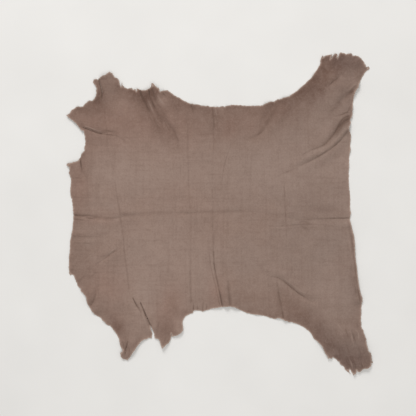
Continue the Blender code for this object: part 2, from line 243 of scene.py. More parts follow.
# The cut edge, clockwise, in stretches: how far the cut wanders there in millimetres, and its
# points. The edge curves on through a point, or turns sharply where the row ends in C.
C = "corner"
OUTLINE = {
    "neck_upper_lobe": Stretch(0.45, (
        (-459, 294, C), (-449, 302), (-442, 312), (-425, 321), (-412, 321), (-396, 337, C), (-390, 339),
        (-382, 339), (-371, 355), (-371, 381),
    )),
    "upper_fore_shank": Stretch(0.6, (
        (-380, 395, C), (-375, 403), (-365, 403, C), (-328, 425, C), (-322, 420), (-315, 411),
        (-305, 403), (-300, 395), (-299, 386), (-296, 378, C), (-293, 393, C), (-290, 384),
    )),
    "upper_shoulder": Stretch(0.7, (
        (-277, 375), (-263, 377), (-260, 373), (-252, 372), (-250, 367, C), (-249, 374, C), (-243, 374),
        (-239, 371), (-218, 371), (-209, 376), (-203, 392, C), (-183, 373), (-179, 365, C), (-170, 369),
        (-153, 368), (-145, 361), (-130, 352), (-119, 347), (-107, 338), (-98, 336), (-88, 330),
    )),
    "upper_belly": Stretch(0.22, (
        (-58, 326), (-45, 323), (-35, 323), (-29, 321), (4, 321), (43, 326), (94, 323), (131, 326),
        (134, 329), (153, 336), (166, 338), (174, 342), (211, 355), (271, 405),
    )),
    "upper_hind_shank": Stretch(0.6, (
        (301, 450), (301, 458), (307, 474, C), (310, 472), (311, 469, C), (316, 474), (321, 474),
        (326, 476), (337, 477, C), (331, 462, C), (343, 478, C), (351, 479), (351, 470, C), (353, 466, C),
        (361, 483), (372, 482), (378, 479), (395, 479), (398, 474), (411, 474), (433, 454), (439, 441),
        (446, 440), (449, 436, C), (446, 432), (440, 428), (424, 405), (420, 394), (415, 385), (414, 378),
        (408, 369), (403, 357),
    )),
    "rump": Stretch(0.3, (
        (397, 311), (397, 294), (390, 281), (393, 274), (386, 254), (393, 235), (391, 206), (392, 192),
        (389, 179), (387, 93), (391, 45), (391, 12), (393, 2), (390, -16), (403, -75), (406, -133),
        (409, -149), (413, -189), (420, -232), (427, -254, C), (424, -332),
    )),
    "lower_hind_shank": Stretch(0.6, (
        (437, -374), (446, -414), (452, -417), (454, -438), (459, -447, C), (452, -449, C), (453, -453),
        (442, -462), (432, -463), (417, -474), (412, -472), (410, -468, C), (407, -478), (401, -483, C),
        (397, -478), (394, -471), (390, -467, C), (388, -473), (391, -480, C), (380, -471), (370, -457),
        (362, -452), (356, -444), (339, -429, C), (336, -433), (323, -433, C), (322, -427), (315, -417),
        (303, -393), (280, -372), (277, -364),
    )),
    "lower_belly": Stretch(0.4, (
        (261, -347), (240, -334), (218, -326), (205, -324), (201, -321), (194, -321), (192, -318),
        (172, -313), (165, -315), (153, -313), (144, -309), (122, -304), (109, -303), (80, -297),
        (37, -279), (-10, -282), (-45, -291), (-52, -294, C), (-55, -291), (-79, -291), (-81, -297),
        (-89, -300), (-104, -309), (-112, -325), (-110, -339), (-111, -349), (-120, -360),
        (-142, -368, C),
    )),
    "lower_fore_shanks": Stretch(0.5, (
        (-145, -358, C), (-148, -378), (-171, -403, C), (-175, -398), (-180, -380), (-189, -374),
        (-195, -374, C), (-196, -366), (-198, -355), (-203, -344), (-209, -337, C), (-207, -344),
        (-204, -355), (-203, -364), (-204, -373, C), (-211, -373), (-233, -381), (-276, -438, C),
        (-292, -433), (-297, -416), (-291, -412, C), (-292, -406), (-297, -397), (-304, -371),
    )),
    "neck_side": Stretch(0.45, (
        (-329, -336), (-337, -333), (-355, -315), (-380, -296), (-398, -265), (-399, -257), (-403, -246),
        (-417, -231, C), (-417, -224, C), (-423, -221), (-428, -213), (-430, -204), (-441, -183),
        (-445, -182, C), (-447, -186, C), (-450, -183), (-452, -139), (-449, -99), (-449, -80),
        (-445, -68), (-439, -17), (-442, 33), (-448, 61), (-446, 103), (-451, 124), (-449, 138),
        (-452, 141, C), (-459, 145, C), (-454, 151), (-433, 155), (-423, 161), (-412, 182), (-406, 188),
        (-406, 201), (-403, 209), (-409, 248), (-415, 249), (-423, 262),
    )),
}

# Creased folds: a trough with a raised bank on each side, its route read from start to end.
# bank is the distance from the trough to the top of a bank, and roundness 1 is a sharp crease and 2
# a soft trough. The three rises are the height of the left bank at the start, middle and end of the
# route, and right_share is the right bank's height over the left one's.
FOLDS = {
    "flank_upper_trough": Fold(20, 1.7, 7, 6, 0, 0.7, (
        (391, 276), (364, 260), (347, 238), (332, 223), (314, 203), (269, 185), (239, 163),
    )),
    "flank_lower_trough": Fold(14, 1.4, 2.4, 2.2, 0, 2.2, (
        (391, 252), (362, 219), (332, 192), (293, 168), (239, 143), (203, 123), (157, 104),
    )),
    "shoulder_left_trough": Fold(16, 1.6, 5, 4, 0, 1.0, (
        (-234, 372), (-226, 347), (-215, 320), (-210, 290), (-204, 268),
    )),
    "shoulder_right_trough": Fold(16, 1.5, 6, 5.5, 0, 0.8, (
        (-207, 372), (-200, 344), (-189, 311), (-178, 284), (-155, 260), (-137, 236), (-121, 190),
    )),
    "neck_crease": Fold(12, 1.2, 6, 5, 0, 0.6, (
        (-412, 257), (-383, 248), (-356, 241), (-326, 242), (-298, 225),
    )),
    "neck_notch_crease": Fold(11, 1.2, 5, 4, 0, 1.1, ((-417, 169), (-413, 137), (-408, 110), (-402, 88))),
    "fore_shank_crease": Fold(11, 1.2, 7, 5, 0, 0.6, ((-365, 402), (-358, 378), (-351, 353), (-345, 330))),
    "spine_crease_neck": Fold(13, 1.3, 4, 3, 1.5, 1.0, (
        (-440, -6), (-405, -8), (-368, -13), (-330, -17), (-284, -8),
    )),
    "spine_crease_middle": Fold(14, 1.8, 1.8, 2, 1.6, 0.8, (
        (-284, -8), (-180, 0), (-92, 0), (0, 3), (78, 6), (151, -2),
    )),
    "spine_crease_rump": Fold(12, 1.3, 1, 2.6, 3.6, 0.8, (
        (151, -2), (240, -18), (295, -20), (337, -18), (391, -16),
    )),
    "neck_side_crease": Fold(13, 1.5, 2.6, 2.2, 0, 0.8, (
        (-441, -73), (-400, -72), (-360, -73), (-325, -72),
    )),
    "neck_slanting_crease": Fold(11, 1.3, 0, 3, 2, 1.2, (
        (-293, -97), (-323, -118), (-350, -136), (-368, -151),
    )),
    "neck_corner_trough": Fold(15, 1.5, 7, 6, 0, 0.8, (
        (-387, -279), (-374, -256), (-368, -225), (-362, -200),
    )),
    "fore_fold_line": Fold(11, 1.3, 1.4, 2.2, 1.6, 0.8, (
        (-335, 236), (-326, 176), (-308, 70), (-299, 10), (-291, -64), (-281, -150), (-274, -260),
    )),
    "slit_left_crease": Fold(10, 1.4, 1.6, 3, 3.4, 0.7, (
        (-260, -248), (-253, -270), (-241, -295), (-234, -315),
    )),
    "slit_crease": Fold(10, 1.4, 1.6, 3.6, 5, 0.8, (
        (-239, -271), (-226, -301), (-214, -327), (-209, -337),
    )),
    "fore_shank_tip_crease": Fold(12, 1.3, 5, 5, 2, 0.9, (
        (-284, -424), (-280, -395), (-276, -370), (-270, -340),
    )),
    "shoulder_fold_line": Fold(12, 1.6, 3, 2, 2.4, 0.8, (
        (-98, 330), (-93, 250), (-92, 120), (-89, -20), (-85, -150), (-85, -285),
    )),
    "belly_crease": Fold(11, 1.1, 0, 4, 6, 0.9, (
        (-21, -20), (-21, -110), (-14, -165), (-4, -217), (10, -281),
    )),
    "belly_side_crease": Fold(12, 1.5, 0, 3, 5, 0.8, ((28, -180), (30, -235), (33, -279))),
    "belly_top_trough": Fold(14, 1.6, 5, 4, 0, 0.9, ((-26, 321), (-18, 290), (-13, 250), (-14, 200))),
    "belly_slanting_trough": Fold(26, 1.9, 6, 4, 0, 0.9, (
        (172, 335), (150, 296), (133, 262), (110, 233), (84, 212),
    )),
    "hind_fold_line": Fold(12, 1.5, 0, 2.2, 1.4, 0.8, ((191, 140), (193, 40), (196, -30), (200, -110))),
    "lower_flank_trough": Fold(16, 1.4, 0, 7, 4, 0.8, (
        (120, -184), (157, -191), (182, -197), (203, -214), (226, -235), (250, -250), (285, -262),
    )),
    "lower_flank_crease": Fold(11, 1.3, 0, 4, 5, 0.9, ((174, -205), (178, -253), (187, -314))),
    "rump_edge_trough": Fold(12, 1.5, 2, 4, 3.5, 0.8, (
        (382, -45), (391, -94), (396, -145), (401, -193), (412, -247),
    )),
    "hind_shank_trough": Fold(20, 1.7, 5, 4, 0, 0.8, ((403, 372), (375, 350), (358, 325), (350, 295))),
    "hind_shank_tip_crease": Fold(13, 1.5, 2, 4, 1.5, 0.8, (
        (322, 381), (336, 390), (352, 402), (366, 414),
    )),
    "lower_hind_shank_trough": Fold(15, 1.5, 0, 6, 5, 0.8, (
        (395, -340), (408, -375), (421, -410), (424, -452),
    )),
}

# Soft raised swells: a rounded ridge along its route, or one edge that lifts where the route is on it.
SWELLS = {
    "upper_hind_leg": Swell(34, 6, 6, 0, ((398, 440), (355, 380), (318, 320), (262, 262))),
    "upper_fore_leg": Swell(30, 7, 5, 0, ((-327, 415), (-330, 360), (-300, 305), (-255, 250))),
    "neck_upper_tip": Swell(22, 6, 2, 0, ((-455, 294), (-425, 295), (-390, 290))),
    "neck_notch_tip": Swell(16, 5, 3, 0, ((-455, 146), (-440, 125), (-432, 90))),
    "shoulder_flap": Swell(18, 6, 4, 0, ((-194, 382), (-172, 350), (-140, 310))),
    "lower_fore_leg": Swell(24, 5, 6, 0, ((-250, -405), (-243, -360), (-238, -310))),
    "lower_shoulder_tip": Swell(22, 8, 4, 0, ((-170, -398), (-165, -340), (-160, -280))),
    "lower_shoulder_corner": Swell(18, 8, 4, 0, ((-122, -358), (-126, -330), (-135, -300))),
    "lower_hind_leg": Swell(32, 7, 6, 0, ((432, -455), (385, -400), (375, -320), (360, -250))),
    "lower_hind_shank_edge": Swell(20, 6, 4, 0, ((331, -430), (310, -395), (300, -350))),
    "rump_edge": Swell(11, 2, 4, 3, ((392, -30), (404, -75), (408, -133), (415, -195), (427, -254))),
}

# Fine creases pressed into the sheet, part by part of the hide. Each row is a crease's half width,
# its depths at the start, middle and end of its route, and the points of the route. A negative depth
# is a fine raised line. Each crease's line is also painted darker, as painted shade, and a raised
# line paler, as painted light.
CREASES = [Crease(width, start, middle, end, route) for width, start, middle, end, *route in (
    # Fore fold line
    (3, 0, 0.35, 0.5, (-349, 350), (-346, 317), (-343, 281), (-338, 242)),
    (2.6, 0.5, 0.3, 0.2, (-338, 242), (-337, 212), (-331, 179), (-325, 149), (-320, 122)),
    (2.6, 0.2, 0.8, 0.5, (-320, 122), (-314, 89), (-307, 44), (-300, 5), (-294, -40), (-289, -79)),
    (2.6, 0.5, 0.9, 0.7, (-289, -79), (-286, -115), (-282, -148), (-277, -181), (-274, -208),
     (-272, -241)),
    # Shoulder fold line
    (3, 0.35, 0.5, 0.25, (-98, 293), (-96, 236), (-96, 176), (-94, 116), (-91, 41), (-86, -25),
     (-85, -73)),
    (3.8, 0.3, 0.8, 0.9, (-85, -79), (-88, -133), (-88, -184), (-88, -229), (-85, -262)),
    (2.4, 0, 0.3, 0, (-116, 191), (-118, 131), (-116, 47)),
    # Belly folds
    (2.8, 2, 1.2, 0.3, (-23, 320), (-21, 305), (-19, 287), (-17, 263), (-19, 230)),
    (2.4, -0.8, -0.8, 0, (-14, 319), (-11, 302), (-8, 281)),
    (2.2, 0.6, 0.5, 0, (-40, 320), (-38, 305), (-37, 287)),
    (2.8, 0.3, 0.3, 0.5, (-19, 230), (-19, 176), (-22, 101), (-22, 26), (-22, -37)),
    (2.4, 0.5, 0.9, 1.2, (-22, -37), (-20, -73), (-19, -115), (-17, -151)),
    (2.1, 1.2, 1.5, 1.8, (-17, -151), (-13, -178), (-7, -205), (-2, -229), (3, -253), (7, -278)),
    (2, 0.1, 0.8, 0.9, (-40, -58), (-34, -97), (-27, -157), (-15, -208), (-1, -271)),
    (2.2, 0.4, 0.75, 0.3, (34, 212), (26, 185), (18, 160), (11, 131), (7, 101), (2, 53)),
    (5, 0.4, 0.4, 0, (23, 293), (27, 266), (29, 236), (28, 212)),
    (2.5, 0, 0.3, 0, (58, 257), (59, 191), (61, 113)),
    (2.6, 0, 0.35, 0, (20, -1), (21, -28), (22, -58)),
    (4.6, 0, 0.55, 1.35, (20, -145), (24, -187), (27, -229), (32, -277)),
    # Hind fold line
    (2.8, 0, 0.35, 0, (187, 287), (188, 257), (189, 221)),
    (2.5, 0.2, 0.85, 0.2, (191, 125), (193, 83), (195, 41), (197, -1), (199, -43), (200, -97)),
    (3.2, 0.4, 1.1, 1.4, (170, -202), (174, -226), (178, -250), (185, -283), (190, -313)),
    # Spine
    (3.4, 1.7, 1.2, 0.4, (-440, -4), (-425, -6), (-410, -7), (-395, -6), (-380, -8)),
    (5, 0.45, 0.5, 0.25, (-383, -10), (-365, -13), (-347, -15), (-326, -15), (-302, -11)),
    (3.2, 1.9, 0.8, 0.2, (-440, -17), (-422, -18), (-404, -21), (-386, -23)),
    (2.8, 1, 1.6, 0.5, (-398, -13), (-385, -15), (-370, -12)),
    (6.5, 0.3, 0.42, 0.28, (-296, -7), (-263, -3), (-224, -1), (-185, 1), (-143, 2), (-95, 1)),
    (5, 0.32, 0.28, 0.15, (-101, 0), (-59, 2), (-14, 5), (37, 7), (91, 8), (145, 0)),
    (2.2, 0.1, 0.3, 0.1, (-209, 2), (-149, 3), (-89, 2), (-35, 5), (16, 6), (91, 8)),
    (2.4, 0.1, 0.4, 0.1, (-131, -11), (-71, -13), (-17, -11)),
    (2.2, 0.2, 0.4, 1.1, (190, -19), (229, -19), (271, -17), (307, -15), (349, -14), (389, -13)),
    (2.6, 0.2, 0.8, 0.2, (151, -37), (187, -37), (235, -33), (295, -33), (373, -42)),
    (2.4, -0.3, -0.8, -0.2, (154, -43), (187, -43), (235, -39)),
    (2.4, 0.3, 0.5, 0, (154, -49), (184, -49), (211, -48)),
    (2.8, 0, 0.3, 0, (73, 20), (115, 21), (163, 20)),
    # Neck side
    (2.4, 0.35, 0.45, 0.2, (-440, -67), (-407, -69), (-365, -69), (-320, -67)),
    (2.3, -0.4, -0.5, -0.2, (-437, -77), (-395, -78), (-353, -78)),
    (2.4, 0.5, 0.9, 0.1, (-437, -88), (-404, -89), (-374, -91)),
    (2.5, 0.3, 0.5, 0, (-434, -109), (-401, -111), (-368, -109)),
    (2.2, 0.3, 0.5, 0, (-434, -129), (-401, -130), (-371, -127)),
    (3, 0, 0.35, 0, (-269, -88), (-209, -83), (-164, -76), (-119, -67)),
    (2.8, 0.2, 0.4, 0, (-440, 107), (-401, 105), (-359, 104)),
    (2.8, 0.2, 0.35, 0, (-437, 50), (-407, 47), (-377, 48)),
    # Neck slants
    (1.9, 0.4, 1.1, 0.3, (-371, -152), (-350, -138), (-329, -123), (-314, -113), (-298, -103)),
    (2.3, -0.4, -1.1, -0.5, (-367, -144), (-347, -130), (-328, -115), (-302, -97)),
    (3, 0.1, 0.7, 0, (-392, -196), (-379, -184), (-364, -173)),
    (3, 0.6, 0.8, 0.2, (-421, -205), (-412, -193), (-401, -182)),
    # Neck corner
    (2, 0.8, 0.7, 0, (-445, -156), (-433, -157), (-421, -157)),
    (2, 0.7, 0.6, 0, (-443, -168), (-431, -170), (-419, -168)),
    (2.2, -0.2, -0.7, 0, (-407, -145), (-395, -132), (-380, -121)),
    (3, 1, 0.9, 0.1, (-387, -277), (-379, -265), (-373, -248), (-371, -227)),
    # Neck lobe
    (1.8, 1.6, 1.9, 1.3, (-409, 259), (-397, 254), (-386, 250), (-372, 243), (-354, 239)),
    (1.8, 0.9, 1.2, 0.3, (-354, 239), (-338, 237), (-314, 234), (-296, 230)),
    (2, -0.8, -1.2, -0.5, (-401, 261), (-386, 256), (-371, 250), (-356, 246)),
    (2.2, 0.3, 1, 0.3, (-358, 252), (-343, 249), (-326, 247), (-307, 243)),
    (2.2, -0.2, -0.6, 0, (-350, 243), (-335, 242), (-317, 240)),
    (2.5, 0.2, 0.6, 0.1, (-308, 232), (-292, 223), (-275, 212)),
    (2.5, 0.2, 0.5, 0, (-289, 236), (-272, 224), (-254, 211)),
    # Neck notch and fore shank
    (2.3, 2.2, 2, 0.3, (-419, 170), (-417, 155), (-415, 139), (-411, 121)),
    (2.2, 1, 0.8, 0, (-403, 188), (-407, 178), (-413, 169)),
    (2.4, 4.2, 5.4, 3.4, (-363, 401), (-359, 390), (-356, 380), (-354, 370), (-353, 359), (-353, 350)),
    (2, 0.1, 0.6, 0.4, (-362, 372), (-361, 363), (-361, 355)),
    (4, 0.7, 0.5, 0, (-361, 359), (-355, 338), (-352, 320), (-349, 299)),
    # Shoulder grooves
    (3.8, 2.9, 2.6, 0.7, (-239, 368), (-235, 356), (-231, 346), (-226, 336), (-221, 326), (-215, 314),
     (-206, 293)),
    (3.2, 2.8, 2, 0.7, (-212, 368), (-209, 353), (-205, 340), (-200, 328), (-192, 312), (-182, 291),
     (-172, 271)),
    (3.6, 1.5, 0.9, 0.5, (-202, 369), (-199, 356), (-192, 338), (-182, 320)),
    (5.5, 0.5, 0.9, 0.6, (-179, 321), (-167, 296), (-154, 271), (-140, 246), (-131, 225), (-124, 198)),
    (2.2, 0.5, 0.9, 0.3, (-170, 290), (-160, 266), (-148, 242), (-137, 218)),
    (2.8, 0, 0.7, 0, (-200, 287), (-190, 268), (-182, 247)),
    (2.2, 0.2, 0.9, 0.3, (-221, 317), (-211, 293), (-202, 269)),
    (2, 0.4, 0.7, 0.1, (-251, 362), (-239, 342), (-229, 320)),
    (2.2, 0.2, 0.8, 0.1, (-146, 269), (-134, 243), (-122, 212)),
    (2.4, -0.3, -1, -0.2, (-217, 344), (-206, 321), (-197, 299), (-187, 278)),
    (2.4, -0.2, -0.8, -0.1, (-175, 302), (-163, 276), (-151, 251)),
    (3.4, -0.8, -1, 0, (-185, 350), (-175, 335), (-161, 320)),
    # Shoulder edge
    (2.2, 1, 0.9, 0, (-170, 360), (-161, 350), (-154, 341)),
    (2.6, 0.8, 1, 0, (-135, 325), (-129, 314), (-121, 305)),
    (2.4, 0.9, 0.8, 0, (-127, 346), (-119, 338), (-110, 333)),
    # Belly upper edge
    (3.4, 2, 1.7, 0.3, (-94, 336), (-86, 323), (-80, 309), (-76, 295)),
    (6, 0.5, 1.1, 0.3, (175, 326), (160, 299), (140, 268), (124, 247), (106, 232), (88, 223)),
    (2.8, 0.3, 1, 0.2, (137, 254), (124, 243), (110, 233)),
    # Slit
    (2.1, 1.1, 1.9, 1, (-261, -252), (-256, -262), (-249, -276), (-238, -293)),
    (2, 0.4, 1.2, 0.3, (-250, -266), (-244, -278), (-233, -296)),
    (2.2, 1.8, 3.9, 5, (-237, -268), (-228, -289), (-220, -309), (-212, -325), (-206, -338)),
    (3.2, -0.2, -0.8, -0.4, (-238, -286), (-229, -308), (-220, -329), (-214, -346)),
    # Lower fore shanks
    (2.1, 4.2, 4.4, 0.9, (-284, -417), (-281, -405), (-278, -393), (-275, -382)),
    (2, 0.5, 1.1, 0.5, (-292, -381), (-289, -393), (-286, -406)),
    (2, 0.3, 1.1, 0.3, (-274, -394), (-271, -406), (-269, -417)),
    (2.8, 0, 0.9, 0.4, (-178, -313), (-184, -334), (-188, -355)),
    (2.4, 0.3, 1, 0.6, (-160, -358), (-164, -376), (-169, -390)),
    # Flank
    (9, 2, 1.6, 0.5, (386, 283), (374, 275), (361, 261), (347, 237), (332, 223), (314, 208)),
    (3, 1.4, 0.7, 0.7, (385, 291), (377, 289), (362, 276), (347, 246), (332, 225), (314, 207), (293, 197),
     (269, 188), (250, 177)),
    (3.2, -0.4, -0.2, -0.1, (382, 257), (362, 237), (347, 219), (332, 206), (314, 195), (269, 173),
     (235, 155)),
    (3, 0.7, 0.8, 0.5, (382, 247), (377, 242), (362, 222), (347, 207), (332, 195), (314, 183), (293, 170),
     (269, 156), (239, 143), (220, 133), (203, 125)),
    (3.4, 0.4, 0.35, 0, (203, 126), (184, 117), (154, 102)),
    (2.6, 1.2, 1.6, 0.2, (382, 303), (364, 296), (343, 290)),
    # Upper hind leg
    (2.2, 0.5, 1.2, 0.3, (355, 408), (350, 403), (341, 398), (332, 387), (323, 379)),
    (6, 1.7, 1.3, 0.2, (398, 366), (389, 359), (380, 350), (370, 345)),
    (4, -1, -1.4, -0.3, (404, 386), (394, 377), (382, 366)),
    (6.5, 0.2, 0.9, 0.4, (365, 345), (359, 336), (361, 326), (365, 316)),
    (5, 0.1, 0.7, 0.1, (351, 321), (341, 312), (331, 301)),
    (3, 0.6, 1.2, 0.3, (394, 329), (389, 315), (381, 302)),
    (2.6, -0.3, -0.7, -0.5, (425, 404), (412, 380), (398, 356), (392, 329), (390, 299)),
    # Upper hind tip
    (2.4, 0.8, 0.9, 0, (329, 460), (332, 446), (331, 431)),
    (2.4, 0.8, 0.8, 0, (349, 461), (346, 445), (338, 429)),
    (2.4, 0, 0.9, 0.2, (412, 442), (413, 428), (409, 413)),
    (2.6, 0.7, 0.8, 0.2, (304, 419), (286, 383), (257, 359), (226, 343)),
    # Lower flank
    (2.6, 0.7, 1.4, 0.8, (152, -189), (166, -190), (179, -195), (201, -210), (221, -227), (247, -246),
     (277, -265)),
    (3, -0.3, -0.8, -0.2, (187, -192), (209, -207), (232, -225), (256, -240)),
    # Rump
    (4, 0.6, 1, 0.3, (242, -26), (254, -25), (268, -29)),
    (5.5, 0.5, 1.1, 0.3, (245, -38), (256, -46), (269, -53)),
    (2.4, 0.2, 0.6, 0.1, (272, -121), (287, -134), (305, -149)),
    (2.3, -0.4, -0.8, -0.4, (377, -25), (383, -61), (391, -103), (398, -145), (403, -187)),
    (3, 0.6, 1.4, 1.3, (389, -37), (395, -79), (401, -115), (406, -157), (410, -199), (416, -238),
     (419, -259)),
    (2.4, 0, 1, 0.2, (401, -205), (406, -223), (410, -250)),
    (2.4, 0, 0.9, 0.2, (410, -313), (413, -337), (416, -361)),
    # Lower hind leg
    (3, 0.9, 1.3, 0.4, (377, -348), (381, -360), (385, -373)),
    (3, 0.6, 1.3, 0.5, (395, -352), (400, -367), (406, -385)),
    (3, 0.5, 1.1, 0.4, (356, -391), (359, -411), (361, -430)),
    (3, 0.5, 1.1, 0.4, (379, -392), (383, -405), (388, -418)),
    (3, 0.4, 1, 0.4, (415, -397), (419, -412), (424, -427)),
    (3, -0.5, -1.2, -0.4, (392, -349), (395, -370), (399, -391)),
    (2.4, -0.4, -0.9, -0.2, (350, -323), (356, -334), (362, -346)),
    (2.4, -0.5, -1.2, -0.4, (413, -348), (415, -364), (415, -382)),
    (2.4, 0.9, 0.9, 0, (311, -384), (320, -391), (332, -394)),
    (2.4, 0.9, 0.8, 0, (323, -409), (332, -410), (341, -407)),
    # Lower hind tip
    (2.2, 1.2, 1.4, 0.3, (407, -465), (404, -448), (397, -432)),
    (2.2, 1.2, 1.4, 0.3, (388, -457), (380, -441), (368, -427)),
    (2.2, 1.2, 1.2, 0.2, (427, -459), (421, -444), (412, -430)),
    (2.2, 1, 1.2, 0.2, (364, -446), (356, -433), (347, -421)),
    (2.2, -0.8, -1, -0.2, (398, -465), (394, -448), (385, -430)),
    # Lower hind edge
    (2.4, 0.2, 1.1, 0.4, (329, -367), (338, -385), (344, -406)),
    (2.4, 0.3, 1, 0.2, (305, -355), (317, -370), (325, -388)),
    # Belly lower edge
    (2.2, 2, 1.6, 0, (-79, -294), (-79, -282), (-77, -265)),
    (2, 1.8, 1.3, 0, (-67, -292), (-67, -281), (-66, -269)),
    (2.2, 2.2, 1.8, 0, (-53, -294), (-51, -281), (-49, -263)),
    (2, 1.6, 1.2, 0, (-41, -290), (-40, -279), (-38, -268)),
    (1.8, -0.9, -0.7, 0, (-73, -294), (-73, -283), (-71, -271)),
    (1.8, -0.9, -0.8, 0, (-60, -294), (-59, -283), (-58, -268)),
    (1.8, -0.9, -0.7, 0, (-46, -292), (-45, -281), (-43, -271)),
)]

# Soft ovals of colour: x, y, half length, half width, strength and, if it is turned, the degrees.
# Blush is pinker where it is positive and greyer where it is negative. Shade is darker where it is
# positive and paler where it is negative: partly the hide's own uneven tone and partly painted shade
# and painted light, for the shading of its folds and slopes. Margin is how much darker the edge of
# the hide is.
BLUSH = (
    # Neck
    (-383, 287, 72, 54, 0.55),
    (-425, 86, 30, 78, 0.75),
    (-365, -16, 48, 15, 0.45),
    (-335, -211, 72, 60, 0.6),
    (-377, 191, 72, 72, 0.25),
    # Shoulder
    (-185, 281, 150, 72, 0.75, -6),
    (-305, 275, 108, 72, 0.34),
    (-245, 356, 42, 24, 0.45),
    (-152, -283, 42, 90, 0.75, -10),
    (-311, -319, 24, 48, 0.5, 20),
    # Belly and back
    (-11, -229, 27, 54, 0.75, 10),
    (91, 275, 66, 54, 0.55),
    (25, 257, 24, 36, 0.5),
    (109, 125, 120, 72, -0.7),
    (73, -127, 66, 48, -0.45),
    (-119, 41, 252, 192, 0.2),
    # Flank and rump
    (199, 317, 48, 36, 0.5, 20),
    (223, -283, 54, 39, 0.45, -30),
    (307, 71, 186, 300, -0.6),
    (295, -154, 168, 132, -0.45),
    # Hind legs
    (379, 455, 60, 36, -0.9, -10),
    (316, 425, 36, 36, 0.55, 35),
    (361, 341, 60, 102, -0.45),
    (370, -295, 60, 90, -0.45),
    (391, -427, 60, 48, -1.75, 20),
    (319, -367, 48, 36, -0.55, -50),
)
SHADE = (
    # Upper hind leg
    (373, 464, 99, 42, 0.75, -10),
    (319, 410, 84, 48, 0.52, 54),
    (256, 353, 72, 48, 0.22, 40),
    (307, 317, 72, 27, -0.14, 58),
    (389, 358, 15, 12, 0.28, 40),
    (292, 386, 12, 24, 0.26, 40),
    # Shoulder
    (-224, 362, 39, 27, 0.62, -15),
    (-188, 287, 102, 36, 0.33, -62),
    (-89, 269, 228, 39, 0.16),
    (-149, 227, 72, 30, 0.14, -20),
    (-134, 329, 30, 18, 0.16, -30),
    (-170, 338, 21, 21, -0.54),
    (-293, 125, 84, 48, -0.42, -10),
    (-269, 353, 21, 21, 0.14),
    (-212, 314, 15, 27, 0.16, -60),
    (-287, 329, 36, 36, -0.24, 20),
    # Belly
    (49, 245, 102, 42, 0.12),
    (25, 254, 15, 27, 0.16),
    (151, 287, 60, 27, 0.2, 60),
    (211, 293, 36, 30, 0.12),
    (13, -241, 54, 48, 0.19),
    (-20, 257, 15, 30, 0.1),
    (-5, 221, 12, 24, 0.18),
    (-41, -163, 72, 90, -0.46),
    (91, -127, 78, 48, -0.2),
    (4, 314, 12, 12, -0.4),
    # Flank: partly painted shade and painted light, for the shading of the folds' slopes
    (364, 269, 36, 15, 0.34, 48),
    (157, 125, 138, 66, -0.58, 8),
    (337, 143, 54, 27, -0.2, 20),
    (376, 212, 12, 27, -0.46),
    (229, -289, 60, 30, 0.23, -32),
    (193, -235, 30, 36, 0.12),
    # Neck
    (-395, 305, 60, 30, 0.18, 5),
    (-364, 341, 30, 15, 0.34, -75),
    (-401, -145, 48, 78, 0.1),
    (-323, 257, 60, 42, 0.13),
    (-413, 158, 24, 45, 0.2),
    (-401, 101, 30, 90, 0.11),
    (-323, 83, 66, 54, -0.16),
    (-335, 26, 36, 15, -0.3),
    (-383, -49, 60, 13.5, -0.34),
    # Spine and back
    (313, 12, 54, 13.5, 0.34),
    (277, -16, 132, 30, 0.05),
    (-89, 2, 210, 15, 0.06),
    (-89, 23, 210, 12, -0.1),
    (-164, 125, 180, 72, -0.42),
    (-197, 89, 30, 42, -0.16),
    (-185, -130, 114, 126, -0.64),
    # Rump: the pale ovals are partly painted light, where the folds' slopes are shaded
    (376, 143, 36, 54, -0.5),
    (382, -7, 27, 48, -0.34),
    (403, -217, 13.5, 78, 0.2, 4),
    (286, 53, 30, 18, 0.1),
    # Lower hind leg
    (310, -370, 78, 36, 0.48, -50),
    (361, -397, 66, 48, 0.28, -50),
    (394, -448, 78, 36, 0.68),
    (424, -403, 24, 36, 0.24),
    (391, -367, 24, 36, 0.14),
    (334, -229, 42, 78, -0.46, 8),
    # Lower fore shanks
    (-164, -349, 48, 27, 0.52, -60),
    (-143, -268, 78, 27, 0.33, -84),
    (-310, -334, 42, 13.5, 0.34, -62),
    (-284, -409, 27, 30, 0.22),
    (-302, -343, 15, 33, 0.46, -60),
    (-245, -385, 18, 9, 0.34, 50),
    (-110, -301, 10.5, 15, 0.3),
    (-230, -277, 36, 84, -0.5, 8),
    (-248, -319, 21, 24, -0.2),
    (-119, -340, 15, 30, -0.4, 20),
    (-221, -229, 42, 30, -0.2),
    (-200, -301, 36, 10.5, -0.22, -69),
)
MARGIN = (
    (-23, 341, 420, 90, 0.66),
    (241, 377, 126, 90, 0.32, 40),
    (-347, 347, 120, 126, 0.37),
    (-449, -34, 78, 312, 0.26),
    (-365, -295, 120, 120, 0.26),
    (193, -313, 192, 90, 0.42, -10),
    (427, -49, 60, 312, 0.1),
)


def smooth_through(points):
    """Centripetal Catmull-Rom curve through the points, without its last point."""
    ends = [2 * points[0] - points[1], *points, 2 * points[-1] - points[-2]]
    curve = []
    for before, start, end, after in zip(ends, ends[1:], ends[2:], ends[3:]):
        t1 = math.sqrt(np.linalg.norm(start - before))
        t2 = t1 + math.sqrt(np.linalg.norm(end - start))
        t3 = t2 + math.sqrt(np.linalg.norm(after - end))
        for step in range(CURVE_STEPS):
            t = t1 + (t2 - t1) * step / CURVE_STEPS
            a1 = before + (start - before) * t / t1
            a2 = start + (end - start) * (t - t1) / (t2 - t1)
            a3 = end + (after - end) * (t - t2) / (t3 - t2)
            b1 = a1 + (a2 - a1) * t / t2
            b2 = a2 + (a3 - a2) * (t - t1) / (t3 - t1)
            curve.append(b1 + (b2 - b1) * (t - t1) / (t2 - t1))
    return curve


def at_even_steps(line, step):
    """Points along a polyline at even distances of about step, with both of its ends."""
    line = np.array(line)
    lengths = np.linalg.norm(np.diff(line, axis=0), axis=1)
    along = np.concatenate(([0.0], np.cumsum(lengths)))
    count = max(1, round(along[-1] / step))
    stops = np.linspace(0.0, along[-1], count + 1)
    return np.stack([np.interp(stops, along, line[:, axis]) for axis in (0, 1)], axis=1)


